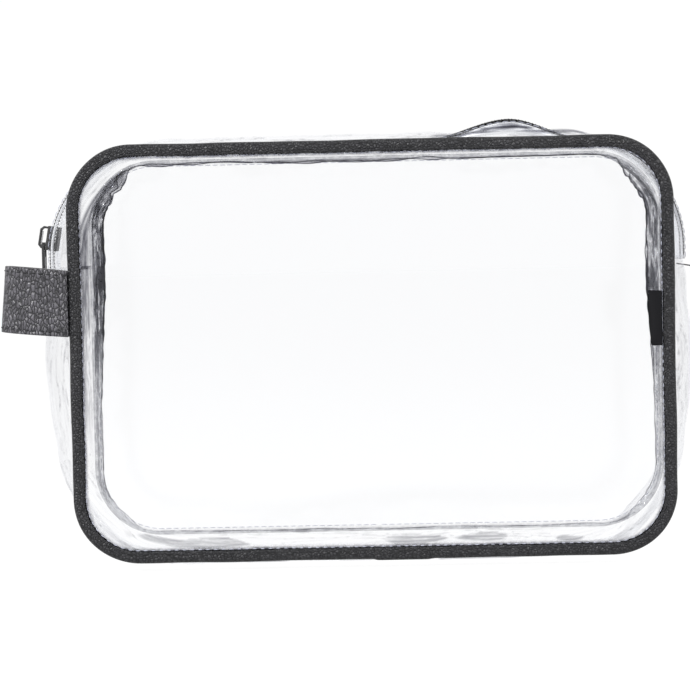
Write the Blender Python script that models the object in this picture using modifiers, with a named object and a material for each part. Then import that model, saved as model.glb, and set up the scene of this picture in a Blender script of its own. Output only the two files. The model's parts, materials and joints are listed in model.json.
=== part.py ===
"""A clear, boxy toiletry bag: film panels on a bulging gusset, bound front edge, zip and side strap.

Metres, +Z up, front towards -Y, origin on the base face under the middle of the bag.
Sheets that are sewn together are drawn with a small gap between their faces.
"""
import math
from collections import namedtuple

import bmesh
import bpy
from mathutils import Matrix, Vector

# Body
FRONT_WIDTH = 0.240          # across the bound front, outside the binding
FRONT_HEIGHT = 0.1664
FRONT_RADIUS = 0.026         # outer corner radius of the binding
BODY_DEPTH = 0.088           # front film's outer face to back film's outer face
BINDING_LIFT = 0.0036         # the binding's lower edge above the base
BACK_WIDER = 0.0065          # the back film is this much wider than the bound front, and this much lower
BACK_LOWER = 0.0029
BACK_RADIUS = 0.031
BACK_LIFT = 0.0030
FILM = 0.0005                # thickness of the clear film
GAP = 0.0003                 # left between pieces that touch

# Gusset: how far its middle stands outside the binding's outer edge
LEFT_BULGE = 0.0125
RIGHT_BULGE = 0.0085
TOP_BULGE = 0.0
TOP_RIDGE = 0.004            # the top film stands this much higher beside the zip than under it
FLAT_BAND = 0.048            # depth of the gusset's full middle band
SEAM_MARGIN = 0.001          # left between a seam and the bag's front or back face
SEAM_STRAIGHT = 0.0025       # straight film behind each seam, before it bulges
BULGE_RADIUS = 0.044         # corner radius along the middle of the gusset

# Front binding
BINDING_WIDTH = 0.0048
BINDING_SHEET = 0.0010
ROUND_SHARE = 0.8             # the binding's outer edges are bevelled by this share of its sheet

# Zip
ZIP_END_HEIGHT = 0.120       # where the chain's two ends are sewn down
COIL_INNER = 0.0006          # half of the slot between the two coils
COIL_OUTER = 0.0022
COIL_THICK = 0.0018
TAPE_WIDTH = 0.0110
TAPE_SHEET = 0.0005
TAPE_SHOWING = 0.0040        # tape between coil and film edge
TAPE_THREAD_INSET = 0.001    # tape thread behind the film's edge
END_SEAM_DROP = 0.003        # end seam below the chain's end
MOUTH_ANGLE = 32.0           # how far the rear of the mouth folds back, degrees
PANEL_LAP = 0.0020           # upper back film over lower back film

# Slider and pull
SLIDER_LENGTH = 0.0100
SLIDER_WIDTH = 0.0076
SLIDER_PLATE = 0.0009
CHANNEL_CLEARANCE = 0.00045  # plate to coil
TAPE_CLEARANCE = 0.0006      # inner plate to tape
RIM_CLEARANCE = 0.0004       # rims to coil
POST_THICK = 0.0006
POST_START = 0.0008          # post's lower end above the slider's
POST_LENGTH = 0.0028
WORN_EDGE = 0.0002
REST_ANGLE = 10.0            # the closed slider's place on the corner, degrees past the straight side
CAP_LENGTH = 0.0090
CAP_WIDTH = 0.0026
CAP_RISE = 0.0033
CAP_SHEET = 0.0006
CAP_CHAMFER = 0.0012
PULL_LENGTH = 0.0240
PULL_WIDTH = 0.0062
PULL_SHEET = 0.0012
PULL_PIVOT_DROP = 0.0027     # pull's pivot below the middle of the slider
PULL_PLAY = 0.0006           # pull's bar above the slider's plate
PULL_CHAMFER = 0.0016
EYE_LENGTH = 0.0048
EYE_CLEARANCE = 0.0005
LEAF_THICK = 0.0003
LEAF_WIDTH = 0.0016
LEAF_LENGTH = 0.0050

# Side strap: a folded loop with both ends under the binding's outer edge
STRAP_BOTTOM = 0.0946
STRAP_HEIGHT = 0.0262
STRAP_SHEET = 0.0010
STRAP_REACH = 0.0262         # how far the loop stands out from the binding
STRAP_FLARE = 0.0009         # the loop's lower edge stands out this much further
STRAP_LIFT = 0.0024          # the loop's outer end above its sewn end
STRAP_ROOT = 0.0014          # half the distance between the two legs where they are sewn
STRAP_SWELL = 0.0085         # how much the loop opens towards its fold
STRAP_FULLNESS = 0.8          # below 1 the loop opens sooner, nearer its root
STRAP_SET_BACK = 0.0040      # the fold behind the sewn end

# Woven label
LABEL_LENGTH = 0.0058
LABEL_HEIGHT = 0.0217
LABEL_BOTTOM = 0.0865
LABEL_SHEET = 0.0008

# Threads
THREAD = 0.0005
BINDING_THREAD_INSET = 0.0040
STRAP_THREAD_INSET = 0.0018
PANEL_THREAD_INSET = 0.0025

CORNER_STEPS = 12
BULGE_STEPS = 4
STRAP_STEPS = 20

Sides = namedtuple("Sides", "left right bottom top radius")

COLORS = {
    "clear_film": ((0.90, 0.92, 0.94, 0.25), 0.08, 0.0),
    "zip_tape": ((0.80, 0.81, 0.83, 1.0), 0.55, 0.0),
    "zip_coil": ((0.03, 0.03, 0.035, 1.0), 0.4, 0.0),
    "black_metal": ((0.03, 0.03, 0.03, 1.0), 0.3, 1.0),
    "binding_leather": ((0.045, 0.045, 0.048, 1.0), 0.5, 0.0),
    "strap_leather": ((0.12, 0.115, 0.125, 1.0), 0.55, 0.0),
    "woven_label": ((0.03, 0.03, 0.035, 1.0), 0.8, 0.0),
    "thread": ((0.04, 0.04, 0.045, 1.0), 0.7, 0.0),
}

BACK_WIDTH = FRONT_WIDTH + BACK_WIDER
BACK_HEIGHT = FRONT_HEIGHT - BACK_LOWER
HALF_DEPTH = BODY_DEPTH / 2
SEAM_INSET = BINDING_WIDTH + GAP + FILM / 2
FLANGE_INSET = BINDING_SHEET + 2 * GAP
FLANGE_Y = -HALF_DEPTH + FILM + GAP + FILM / 2
REAR_EDGE_Y = HALF_DEPTH - FILM - GAP
BACK_SEAM_INSET = SEAM_MARGIN + FILM / 2
BULGE_START = HALF_DEPTH - SEAM_MARGIN - SEAM_STRAIGHT
TAPE_LEVEL = -(FILM / 2 + GAP + TAPE_SHEET / 2)
FILM_EDGE = COIL_OUTER + TAPE_SHOWING
TAPE_EDGE = COIL_OUTER + GAP + TAPE_WIDTH


def clear_scene():
    for obj in list(bpy.data.objects):
        bpy.data.objects.remove(obj, do_unlink=True)


def new_collection(name):
    collection = bpy.data.collections.new(name)
    bpy.context.scene.collection.children.link(collection)
    return collection


def material(name):
    found = bpy.data.materials.get(name)
    if found:
        return found
    color, roughness, metallic = COLORS[name]
    made = bpy.data.materials.new(name)
    made.use_nodes = True
    shader = made.node_tree.nodes["Principled BSDF"]
    shader.inputs["Base Color"].default_value = (*color[:3], 1.0)
    shader.inputs["Alpha"].default_value = color[3]
    shader.inputs["Roughness"].default_value = roughness
    shader.inputs["Metallic"].default_value = metallic
    return made


def add_object(name, data, slot):
    obj = bpy.data.objects.new(name, data)
    obj.data.materials.append(material(slot))
    BAG.objects.link(obj)
    return obj


def put_under(obj, empty):
    """Parent an object to an empty without moving it in the world."""
    bpy.context.view_layer.update()
    obj.parent = empty
    obj.matrix_parent_inverse = empty.matrix_world.inverted()


def axis_empty(name, place):
    empty = bpy.data.objects.new(name, None)
    empty.location = place
    BAG.objects.link(empty)
    return empty


def grow(sides, by):
    """The same outline, moved outward by a distance all round."""
    return Sides(sides.left - by, sides.right + by, sides.bottom - by, sides.top + by, sides.radius + by)


def front_sides(inset):
    """The bound front's outline, moved inward."""
    half = FRONT_WIDTH / 2
    outer = Sides(-half, half, BINDING_LIFT, BINDING_LIFT + FRONT_HEIGHT, FRONT_RADIUS)
    return grow(outer, -inset)


def back_sides(inset):
    """The back film's outline, moved inward."""
    half = BACK_WIDTH / 2
    return grow(Sides(-half, half, BACK_LIFT, BACK_LIFT + BACK_HEIGHT, BACK_RADIUS), -inset)


def between(first, second, share):
    return Sides(*(a + (b - a) * share for a, b in zip(first, second)))


def bulge_share(y):
    """How much of the full bulge the gusset has at this depth: 0 at the seams, 1 in the flat band."""
    flat = FLAT_BAND / 2
    if abs(y) <= flat:
        return 1.0
    if abs(y) >= BULGE_START:
        return 0.0
    return 0.5 * (1 + math.cos(math.pi * (abs(y) - flat) / (BULGE_START - flat)))


def ridge_share(y):
    """How much of the ridge the top has at this depth: 0 over the tape, 1 at the band's edge."""
    across = (abs(y) - TAPE_EDGE) / (FLAT_BAND / 2 - TAPE_EDGE)
    across = min(max(across, 0.0), 1.0)
    return across * across * (3 - 2 * across)


def gusset_sides(y):
    """The gusset's middle surface at this depth, from the zip to the seams."""
    seam = front_sides(SEAM_INSET) if y < 0 else back_sides(BACK_SEAM_INSET)
    half, top = FRONT_WIDTH / 2, BINDING_LIFT + FRONT_HEIGHT + TOP_BULGE
    zip_line = Sides(-half - LEFT_BULGE, half + RIGHT_BULGE, FILM / 2, top, BULGE_RADIUS)
    ridge = zip_line._replace(top=top + TOP_RIDGE)
    return between(seam, between(zip_line, ridge, ridge_share(y)), bulge_share(y))


def arc(center_x, center_z, radius, start, end):
    """Points on an arc, angles in degrees from +X towards +Z."""
    points = []
    for step in range(CORNER_STEPS + 1):
        angle = math.radians(start + (end - start) * step / CORNER_STEPS)
        points.append((center_x + radius * math.cos(angle), center_z + radius * math.sin(angle)))
    return points


def upper_path(sides, end_height):
    """From the left end height up, over the top and down to the right end height."""
    r = sides.radius
    return ([(sides.left, end_height)]
            + arc(sides.left + r, sides.top - r, r, 180, 90)
            + arc(sides.right - r, sides.top - r, r, 90, 0)
            + [(sides.right, end_height)])


def lower_path(sides, end_height):
    """From the left end height down, under the bottom and up to the right end height."""
    r = sides.radius
    return ([(sides.left, end_height)]
            + arc(sides.left + r, sides.bottom + r, r, 180, 270)
            + arc(sides.right - r, sides.bottom + r, r, 270, 360)
            + [(sides.right, end_height)])


def whole_path(sides):
    """The closed outline, clockwise from the upper left corner."""
    r = sides.radius
    return (arc(sides.left + r, sides.top - r, r, 180, 90)
            + arc(sides.right - r, sides.top - r, r, 90, 0)
            + arc(sides.right - r, sides.bottom + r, r, 0, -90)
            + arc(sides.left + r, sides.bottom + r, r, -90, -180))


def at_depth(path, y):
    return [Vector((x, y, z)) for x, z in path]


def loft(name, rows, slot, closed_rows=False, closed_around=False):
    """A mesh through rows of points. closed_rows joins each row's ends, closed_around joins last to first."""
    mesh = bpy.data.meshes.new(name)
    bm = bmesh.new()
    grid = [[bm.verts.new(p) for p in row] for row in rows]
    count, length = len(grid), len(grid[0])
    for i in range(count if closed_around else count - 1):
        here, after = grid[i], grid[(i + 1) % count]
        for j in range(length if closed_rows else length - 1):
            k = (j + 1) % length
            bm.faces.new((here[j], here[k], after[k], after[j]))
    if closed_around and not closed_rows:
        bm.faces.new([row[0] for row in grid])
        bm.faces.new([row[-1] for row in reversed(grid)])
    bmesh.ops.recalc_face_normals(bm, faces=bm.faces[:])
    bm.to_mesh(mesh)
    bm.free()
    return add_object(name, mesh, slot)


def sheet(name, rows, thickness, slot):
    """An open sheet through rows of points, thickened about its middle surface."""
    obj = loft(name, rows, slot)
    solidify = obj.modifiers.new("thickness", "SOLIDIFY")
    solidify.thickness = thickness
    solidify.offset = 0.0
    solidify.use_even_offset = True
    return obj


def flat_plate(name, outlines, half_thickness, slot, turn):
    """A 2D curve with one or more outlines (the first outside, others holes), filled and extruded."""
    curve = bpy.data.curves.new(name, "CURVE")
    curve.dimensions = "2D"
    curve.fill_mode = "BOTH"
    curve.extrude = half_thickness
    for outline in outlines:
        spline = curve.splines.new("POLY")
        spline.points.add(len(outline) - 1)
        for point, (u, v) in zip(spline.points, outline):
            point.co = (u, v, 0, 1)
        spline.use_cyclic_u = True
    obj = add_object(name, curve, slot)
    obj.rotation_euler = turn
    return obj


def box(name, low, high, slot):
    mesh = bpy.data.meshes.new(name)
    bm = bmesh.new()
    bmesh.ops.create_cube(bm, size=1.0)
    low, high = Vector(low), Vector(high)
    size, middle = high - low, (low + high) / 2
    place = Matrix.Translation(middle) @ Matrix.Diagonal((*size, 1))
    bmesh.ops.transform(bm, matrix=place, verts=bm.verts[:])
    bm.to_mesh(mesh)
    bm.free()
    return add_object(name, mesh, slot)


def unite(target, tool):
    """Boolean union of a helper box into a target; the helper is moved to the cutters."""
    modifier = target.modifiers.new("join " + tool.name, "BOOLEAN")
    modifier.operation = "UNION"
    modifier.solver = "EXACT"
    modifier.object = tool
    BAG.objects.unlink(tool)
    HELPERS.objects.link(tool)
    tool.hide_render = True
    tool.display_type = "WIRE"


# ---- film -----------------------------------------------------------------

def strip_depths(edge):
    """Depths, from a seam towards the middle, at which a film strip gets a row of points."""
    flat = FLAT_BAND / 2
    step = (BULGE_START - flat) / BULGE_STEPS
    bulge = [BULGE_START - step * i for i in range(BULGE_STEPS + 1)]
    return bulge + [(flat + TAPE_EDGE) / 2, TAPE_EDGE, edge]


def front_rows(path, end_height, depths):
    """A strip's rows from its flange in the front binding backward."""
    rows = [at_depth(path(front_sides(FLANGE_INSET), end_height), FLANGE_Y),
            at_depth(path(front_sides(SEAM_INSET), end_height), FLANGE_Y)]
    return rows + [at_depth(path(gusset_sides(-y), end_height), -y) for y in depths]


def rear_rows(path, end_height, depths):
    """A strip's rows from the middle to its back seam."""
    rows = [at_depth(path(gusset_sides(y), end_height), y) for y in reversed(depths)]
    return rows + [at_depth(path(back_sides(BACK_SEAM_INSET), end_height), REAR_EDGE_Y)]


def front_panel():
    outline = whole_path(front_sides(FLANGE_INSET))
    panel = flat_plate("front_panel", [outline], FILM / 2, "clear_film", (math.pi / 2, 0, 0))
    panel.location.y = -HALF_DEPTH + FILM / 2


def split_height():
    """Where the back film folds, high enough for the upper part to swing down outside the lower."""
    reach = HALF_DEPTH + FILM + 2 * GAP
    return ZIP_END_HEIGHT + reach * math.tan(math.radians(MOUTH_ANGLE / 2)) + PANEL_LAP


def back_panels(flap):
    sides, split = back_sides(0), split_height()
    lower = flat_plate("back_panel_lower", [lower_path(sides, split + PANEL_LAP / 2)], FILM / 2,
                       "clear_film", (math.pi / 2, 0, 0))
    lower.location.y = HALF_DEPTH - FILM / 2
    upper = flat_plate("back_panel_upper", [upper_path(sides, split - PANEL_LAP / 2)], FILM / 2,
                       "clear_film", (math.pi / 2, 0, 0))
    upper.location.y = HALF_DEPTH + GAP + FILM / 2
    put_under(upper, flap)


def lower_gusset():
    top = ZIP_END_HEIGHT - GAP
    depths = strip_depths(FLAT_BAND / 4)
    rows = front_rows(lower_path, top, depths) + rear_rows(lower_path, top, depths)
    sheet("lower_gusset", rows, FILM, "clear_film")


def zip_strips(flap):
    depths = strip_depths(FILM_EDGE)
    sheet("front_zip_strip", front_rows(upper_path, ZIP_END_HEIGHT, depths), FILM, "clear_film")
    rear = sheet("rear_zip_strip", rear_rows(upper_path, ZIP_END_HEIGHT, depths), FILM, "clear_film")
    put_under(rear, flap)


# ---- zip ------------------------------------------------------------------

def chain_bar(name, side, near, far, low, high, slot):
    """A bar along the zip's path: near and far are distances from the middle, low and high levels outward."""
    middle = gusset_sides(0)
    corners = [(near, low), (far, low), (far, high), (near, high)]
    rows = [at_depth(upper_path(grow(middle, level), ZIP_END_HEIGHT), side * y) for y, level in corners]
    return loft(name, rows, slot, closed_around=True)


def zip_chain(flap):
    tape_low, tape_high = TAPE_LEVEL - TAPE_SHEET / 2, TAPE_LEVEL + TAPE_SHEET / 2
    tape_near = COIL_OUTER + GAP
    for side, place in ((-1, "front"), (1, "rear")):
        tape = chain_bar(place + "_zip_tape", side, tape_near, TAPE_EDGE,
                         tape_low, tape_high, "zip_tape")
        coil = chain_bar(place + "_zip_coil", side, COIL_INNER, COIL_OUTER,
                         -COIL_THICK / 2, COIL_THICK / 2, "zip_coil")
        thread_y = FILM_EDGE + TAPE_THREAD_INSET
        thread = chain_bar(place + "_tape_thread", side, thread_y, thread_y + THREAD,
                           FILM / 2 + GAP, FILM / 2 + GAP + THREAD, "thread")
        if side > 0:
            for obj in (tape, coil, thread):
                put_under(obj, flap)


def end_seams():
    """The thread that closes each end of the zip, just under the chain."""
    sides = gusset_sides(0)
    z, half = ZIP_END_HEIGHT - END_SEAM_DROP, FLAT_BAND / 2
    off = FILM / 2 + GAP
    box("end_seam_thread_left", (sides.left - off - THREAD, -half, z), (sides.left - off, half, z + THREAD),
        "thread")
    box("end_seam_thread_right", (sides.right + off, -half, z), (sides.right + off + THREAD, half, z + THREAD),
        "thread")


# ---- slider: local frame x outward from the bag, y across, z along the chain ----

def corner_center():
    """Middle of the chain's upper left corner, which the slider turns about."""
    sides = gusset_sides(0)
    return Vector((sides.left + sides.radius, 0, sides.top - sides.radius))


def on_chain(outward=0.0, along=0.0):
    """A point near the closed slider: outward from the chain's middle, and along the chain upward."""
    turn = math.radians(REST_ANGLE)
    reach = gusset_sides(0).radius + outward
    from_center = Vector((-reach * math.cos(turn) + along * math.sin(turn), 0,
                          reach * math.sin(turn) + along * math.cos(turn)))
    return corner_center() + from_center


def stand_on_chain(obj):
    """Turn a piece built in the slider's frame to face out of the corner, and put it there."""
    obj.rotation_euler = (0, -math.radians(REST_ANGLE), math.pi)
    obj.location = on_chain()


def slider_levels():
    """Inner and outer face of the outer plate, and the inner plate's near face, from the chain's middle."""
    outer_low = COIL_THICK / 2 + CHANNEL_CLEARANCE
    inner_near = TAPE_LEVEL - TAPE_SHEET / 2 - TAPE_CLEARANCE
    return outer_low, outer_low + SLIDER_PLATE, inner_near


def slider_body(carriage):
    low, high, inner = slider_levels()
    length, width = SLIDER_LENGTH / 2, SLIDER_WIDTH / 2
    slider = box("slider_body", (low, -width, -length), (high, width, length), "black_metal")
    overlap = SLIDER_PLATE / 2
    rim_in = COIL_OUTER + RIM_CLEARANCE
    post_low = -length + POST_START
    helpers = [box("inner plate", (inner - SLIDER_PLATE, -width, -length), (inner, width, length), "black_metal"),
               box("post", (inner - overlap, -POST_THICK / 2, post_low),
                   (low + overlap, POST_THICK / 2, post_low + POST_LENGTH), "black_metal")]
    for side in (-1, 1):
        across = sorted((side * rim_in, side * width))
        helpers.append(box("rim", (-GAP / 2, across[0], -length), (low + overlap, across[1], length),
                           "black_metal"))
    for helper in helpers:
        unite(slider, helper)
        stand_on_chain(helper)
    bevel = slider.modifiers.new("worn edges", "BEVEL")
    bevel.width = WORN_EDGE
    bevel.segments = 1
    bevel.limit_method = "ANGLE"
    stand_on_chain(slider)
    put_under(slider, carriage)


def arch_outline(length, rise, thickness, chamfer):
    """A low arch in its own plane: u along it, v up from its feet."""
    half = length / 2
    outer = [(-half, 0), (-half, rise - chamfer), (-half + chamfer, rise),
             (half - chamfer, rise), (half, rise - chamfer), (half, 0)]
    inner_half, inner_rise = half - thickness, rise - thickness
    cut = chamfer * 0.75
    inner = [(inner_half, 0), (inner_half, inner_rise - cut), (inner_half - cut, inner_rise),
             (-inner_half + cut, inner_rise), (-inner_half, inner_rise - cut), (-inner_half, 0)]
    return outer + inner


def slider_fittings(carriage):
    """The arched cap that holds the pull, and the leaf spring that locks the slider under it."""
    top = slider_levels()[1]
    outline = [(v, u) for u, v in arch_outline(CAP_LENGTH, CAP_RISE - GAP, CAP_SHEET, CAP_CHAMFER)]
    cap = flat_plate("slider_cap", [outline], CAP_WIDTH / 2, "black_metal",
                     (math.pi / 2, -math.radians(REST_ANGLE), math.pi))
    cap.location = on_chain(outward=top + GAP)
    leaf_top = top + CAP_RISE - CAP_SHEET - GAP
    leaf = box("slider_lock_spring", (leaf_top - LEAF_THICK, -LEAF_WIDTH / 2, -LEAF_LENGTH / 2),
               (leaf_top, LEAF_WIDTH / 2, LEAF_LENGTH / 2), "black_metal")
    stand_on_chain(leaf)
    for obj in (cap, leaf):
        put_under(obj, carriage)


def pull_tab(carriage):
    """A flat metal pull that hangs by an eye round the cap; its origin is on its pivot."""
    top = slider_levels()[1]
    half, bar, tip = PULL_WIDTH / 2, PULL_SHEET / 2, PULL_CHAMFER
    outer = [(-half, bar), (half, bar), (half, -PULL_LENGTH + tip), (half - tip, -PULL_LENGTH),
             (-half + tip, -PULL_LENGTH), (-half, -PULL_LENGTH + tip)]
    eye_half = CAP_WIDTH / 2 + EYE_CLEARANCE
    eye = [(-eye_half, -bar), (eye_half, -bar), (eye_half, -bar - EYE_LENGTH), (-eye_half, -bar - EYE_LENGTH)]
    pull = flat_plate("pull_tab", [outer, eye], PULL_SHEET / 2, "black_metal", (math.pi / 2, 0, math.pi / 2))
    pull.location = on_chain(outward=top + PULL_PLAY + bar, along=-PULL_PIVOT_DROP)
    put_under(pull, carriage)


# ---- binding, strap, label, threads -----------------------------------------

def ring(name, corners, slot):
    """A closed ring round the front: corners are (inset, y) of its cross-section."""
    rows = [at_depth(whole_path(front_sides(inset)), y) for inset, y in corners]
    return loft(name, rows, slot, closed_rows=True, closed_around=True)


def front_binding():
    """A channel that wraps the front film's edge and the gusset's flange."""
    front_in = -HALF_DEPTH - GAP
    rear_in = FLANGE_Y + FILM / 2 + GAP
    front_out, rear_out = front_in - BINDING_SHEET, rear_in + BINDING_SHEET
    wall = BINDING_SHEET
    round_off = BINDING_SHEET * ROUND_SHARE
    ring("front_binding", [(BINDING_WIDTH, front_out), (round_off, front_out), (0, front_out + round_off),
                           (0, rear_out - round_off), (round_off, rear_out), (BINDING_WIDTH, rear_out),
                           (BINDING_WIDTH, rear_in), (wall, rear_in), (wall, front_in),
                           (BINDING_WIDTH, front_in)], "binding_leather")
    near, far = front_out - GAP, front_out - GAP - THREAD
    inset = BINDING_THREAD_INSET
    ring("binding_thread", [(inset, far), (inset - THREAD, far), (inset - THREAD, near), (inset, near)],
         "thread")


def strap_points(offset, z):
    """The loop's plan at one height: a teardrop from the binding's outer edge, round the fold and back."""
    level = 0.5 - (z - STRAP_BOTTOM) / STRAP_HEIGHT
    root_x = -FRONT_WIDTH / 2 - 2 * GAP
    root_y = -HALF_DEPTH + SEAM_MARGIN
    reach = STRAP_REACH + 2 * STRAP_FLARE * level - 2 * GAP
    plan = []
    for step in range(STRAP_STEPS + 1):
        angle = math.pi * (step / STRAP_STEPS - 0.5)
        outward = math.cos(angle)
        half = STRAP_ROOT + STRAP_SWELL * max(outward, 0.0) ** STRAP_FULLNESS
        across = STRAP_SET_BACK * outward + half * math.sin(angle)
        plan.append(Vector((root_x - reach * outward, root_y + across, z + STRAP_LIFT * outward)))
    points = []
    for step, middle in enumerate(plan):
        ahead = plan[min(step + 1, STRAP_STEPS)] - plan[max(step - 1, 0)]
        points.append(middle + Vector((-ahead.y, ahead.x, 0)).normalized() * offset)
    return points


def strap_bar(name, near, far, low, high, slot):
    """A band of the loop between two levels outward from its middle surface and two heights."""
    corners = [(near, low), (far, low), (far, high), (near, high)]
    rows = [strap_points(offset, z) for offset, z in corners]
    return loft(name, rows, slot, closed_around=True)


def side_strap():
    bottom, top = STRAP_BOTTOM, STRAP_BOTTOM + STRAP_HEIGHT
    half_gap = GAP / 2
    strap_bar("strap_outer", half_gap, half_gap + STRAP_SHEET, bottom, top, "strap_leather")
    strap_bar("strap_lining", -half_gap - STRAP_SHEET, -half_gap, bottom, top, "strap_leather")
    near = half_gap + STRAP_SHEET + GAP
    for name, z in (("strap_thread_top", top - STRAP_THREAD_INSET - THREAD),
                    ("strap_thread_bottom", bottom + STRAP_THREAD_INSET)):
        strap_bar(name, near, near + THREAD, z, z + THREAD, "thread")


def woven_label():
    """A folded tag sewn under the binding's inner edge, with its origin on that edge."""
    hinge_x = FRONT_WIDTH / 2 - BINDING_WIDTH - GAP - LABEL_SHEET / 2
    near = -HALF_DEPTH - GAP
    label = box("woven_label", (-LABEL_LENGTH, -LABEL_SHEET / 2, 0), (0, LABEL_SHEET / 2, LABEL_HEIGHT),
                "woven_label")
    label.location = (hinge_x, near - LABEL_SHEET / 2, LABEL_BOTTOM)


def back_seam_threads(flap):
    """The seam thread near the back film's edge, in the same two parts as the film."""
    sides, split = back_sides(PANEL_THREAD_INSET), split_height()
    for name, path, end, face in (
            ("back_seam_thread_lower", lower_path, split - PANEL_LAP, HALF_DEPTH),
            ("back_seam_thread_upper", upper_path, split - PANEL_LAP / 2, HALF_DEPTH + GAP + FILM)):
        near = face + GAP
        rows = [at_depth(path(grow(sides, step), end), y)
                for step, y in ((0, near), (THREAD, near), (THREAD, near + THREAD), (0, near + THREAD))]
        thread = loft(name, rows, "thread", closed_around=True)
        if name.endswith("upper"):
            put_under(thread, flap)


clear_scene()
BAG = new_collection("makeup_bag")
HELPERS = new_collection("joined_helpers")

mouth_axis = axis_empty("mouth_fold_axis", (0, 0, ZIP_END_HEIGHT))
zip_axis = axis_empty("zip_travel_axis", corner_center())

front_panel()
back_panels(mouth_axis)
lower_gusset()
zip_strips(mouth_axis)
zip_chain(mouth_axis)
end_seams()
slider_body(zip_axis)
slider_fittings(zip_axis)
pull_tab(zip_axis)
front_binding()
side_strap()
woven_label()
back_seam_threads(mouth_axis)
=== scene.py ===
"""Looks of the clear toiletry bag: wrinkled film, grained binding and strap, coil zip, slider, stitches.

Metres, +Z up, front towards -Y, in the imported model's frame.
A film surface is a grid of points: rows run round the bag's outline, columns go from front to back.
"""
import json
import math
from collections import namedtuple

import bmesh
import bpy
import numpy as np
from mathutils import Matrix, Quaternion, Vector, noise


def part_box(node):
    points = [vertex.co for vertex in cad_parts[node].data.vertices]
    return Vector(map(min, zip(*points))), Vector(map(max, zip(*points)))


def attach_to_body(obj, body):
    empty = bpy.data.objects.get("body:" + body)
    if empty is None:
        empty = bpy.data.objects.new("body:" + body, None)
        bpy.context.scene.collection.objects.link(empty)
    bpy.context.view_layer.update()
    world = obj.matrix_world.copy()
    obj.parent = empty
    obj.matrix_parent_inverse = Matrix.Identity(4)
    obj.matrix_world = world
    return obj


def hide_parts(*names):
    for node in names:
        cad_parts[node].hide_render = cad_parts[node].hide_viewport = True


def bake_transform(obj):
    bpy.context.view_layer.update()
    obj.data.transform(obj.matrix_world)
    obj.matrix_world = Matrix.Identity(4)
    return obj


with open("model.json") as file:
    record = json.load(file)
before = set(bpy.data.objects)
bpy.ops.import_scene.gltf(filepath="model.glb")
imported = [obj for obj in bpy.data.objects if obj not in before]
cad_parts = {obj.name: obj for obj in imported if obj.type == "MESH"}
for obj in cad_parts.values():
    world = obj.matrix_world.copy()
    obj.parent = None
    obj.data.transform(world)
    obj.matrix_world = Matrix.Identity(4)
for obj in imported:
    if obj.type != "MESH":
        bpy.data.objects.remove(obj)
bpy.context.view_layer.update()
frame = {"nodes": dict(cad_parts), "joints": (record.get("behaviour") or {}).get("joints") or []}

# ---- sizes ----------

FILM = 0.0004             # thinner than the CAD's, so that neighbours stay clear
FILM_GRID = 0.0011        # spacing of the film's points
FLOOR_GAP = 0.0002        # film to floor
FRONT_RADIUS = 0.026      # corner radius outside the binding
BACK_RADIUS = 0.029       # corner radius of the back seam
BACK_LEFT_SHIFT = 0.0004  # the back seam's sides, to the right of the frame's
BACK_RIGHT_SHIFT = 0.0022
BACK_INSET = 0.0012       # from the back film's edge to the gusset's
CORNER_SLACK = 0.006      # the film beside the zip turns this much wider round the corners
FLAT_BAND = 0.048         # depth of the gusset's full middle band
TOP_RIDGE = 0.0030        # rise of the top film beside the zip
BULGE_START = 0.0405      # distance from the middle to where the gusset bulges
BULGE_FULLNESS = 2.7      # higher: the sides reach their full width sooner
CORNER_FULLNESS = 0.35    # lower: the corners reach their full radius sooner
SEAM_DEPTH = 0.0432       # distance from the middle to the gusset's back edge

COIL_THICK = 0.0018
COIL_PITCH = 0.0014
COIL_WIRE = 0.00072
COIL_OFFSET = 0.00095     # from the zip's middle to each coil's own middle
COIL_REACH = 0.0011       # half the width and half the height of a coil's turns
COIL_RISE = 0.00055
FILM_EDGE = 0.0062        # distance from the zip's middle to the film's edge
TAPE_INNER = 0.0025       # the tape's two edges, from the zip's middle
TAPE_OUTER = 0.0135
TAPE_SHEET = 0.0003
TAPE_DROP = 0.0008        # tape under the film, middle to middle

SIDE_START = 0.098        # distance from the middle to the bag's sides
SWELL_HEIGHT = 0.082      # where the bag's sides stand out furthest
BELLY = 0.0028            # by how much
BELLY_REACH = 0.036       # how far up and down
FOOT = 0.0040             # how far they draw in at the base
FOOT_HEIGHT = 0.062       # up to which height
PUCKER_X = 0.058          # where the zip stands up above the bound front
PUCKER_LEFT = 0.036       # its reach to the left and right of that
PUCKER_RIGHT = 0.030
PUCKER_RISE = 0.0082
PUCKER_DEPTH = 0.024      # its reach to the front and rear
NEAR_TOP = 0.004          # depth below the zip's top that counts as the top film

PUCKER_PAINTED_REFLECTIONS = ((-0.002, 0.0105, 0.013, 0.0026, 1.8),  # dark painted reflections: place from the pucker's middle,
                 (-0.014, 0.0185, 0.021, 0.0038, 1.5),  # distance in front of the zip, half length,
                 (0.016, 0.0260, 0.016, 0.0030, 1.0))   # half width and strength

BAND_START = 0.030        # the gusset's band of painted shade, just in front of the back seam
BAND_END = 0.0398
STRIP_CREASE = 0.0004     # how high the creases of the zipped strips and of the lower gusset are
GUSSET_CREASE = 0.0012
PANEL_WAVE = 0.0004       # how far the flat panels bend in and out

BINDING_WIDTH = 0.0048
BINDING_WALL = 0.0009
BINDING_ROUND = 0.0021    # radius of the binding's outer edge, seen from its end
BINDING_SOFT = 0.0003     # its cut edges are rounded by this
LAP_START = 0.024         # the binding's ends overlap from here to the middle of the bottom
LAP_SWELL = 0.0005

BINDING_STITCH = 0.0031   # stitch pitches
STRAP_STITCH = 0.0030
FILM_STITCH = 0.0032
END_STITCH = 0.0024
STITCH_GRID = 0.0012      # spacing of a seam's points

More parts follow.
